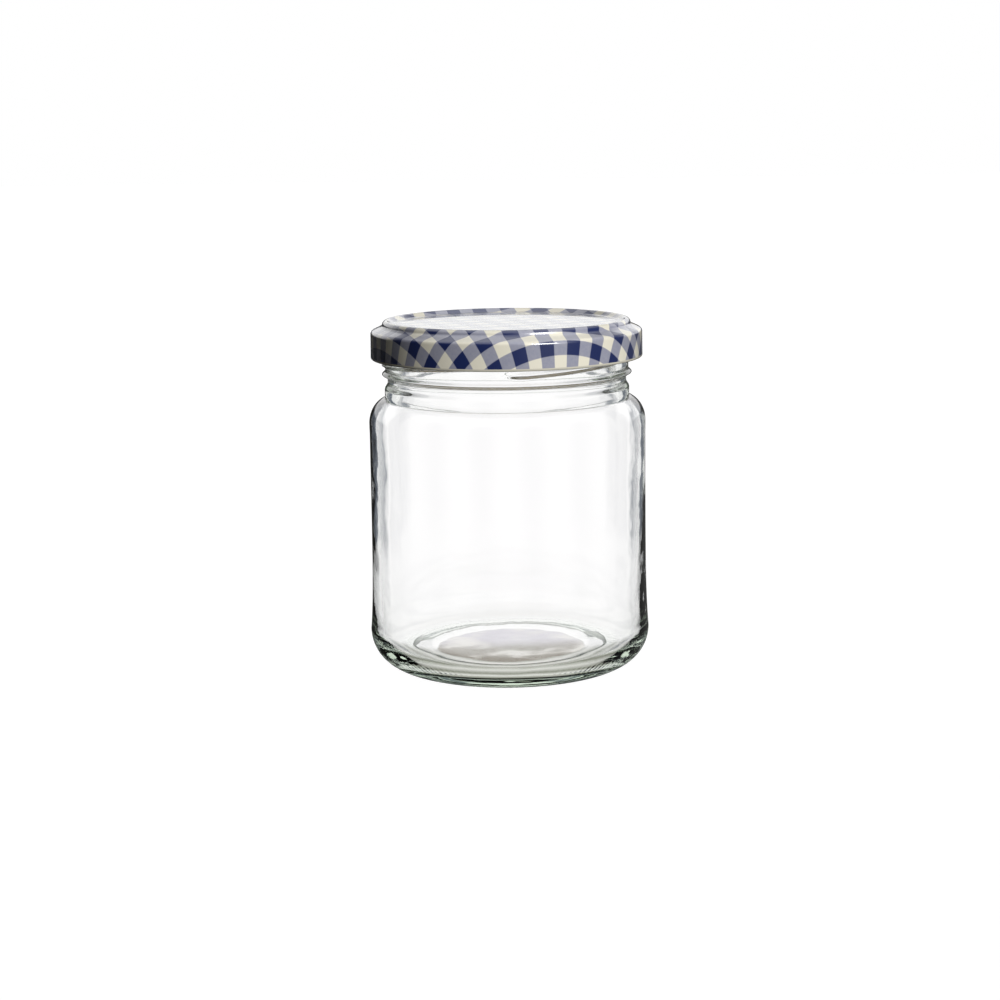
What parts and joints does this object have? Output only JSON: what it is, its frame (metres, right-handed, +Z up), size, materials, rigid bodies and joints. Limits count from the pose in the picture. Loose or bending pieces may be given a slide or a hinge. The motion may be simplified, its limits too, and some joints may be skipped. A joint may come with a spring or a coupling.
{
  "type": "twist-off jar",
  "caption": "Round clear glass jar with a straight label panel, rounded shoulder and threaded neck, closed by a gingham-printed steel twist-off lid.",
  "frame": {"origin": "middle of the base, on the plane that the jar stands on", "axes": "+Z up along the jar's axis, -Y towards the front as pictured, +X to the viewer's right"},
  "size_m": [0.0696, 0.0696, 0.0859],
  "materials": {
    "clear_glass": "polished",
    "printed_steel": "glossy lacquer over a two-colour check print",
    "sealing_compound": "matt"
  },
  "bodies": {
    "root": {"jar": "clear_glass", "lid": "printed_steel", "lid_seal": "sealing_compound"}
  },
  "joints": []
}
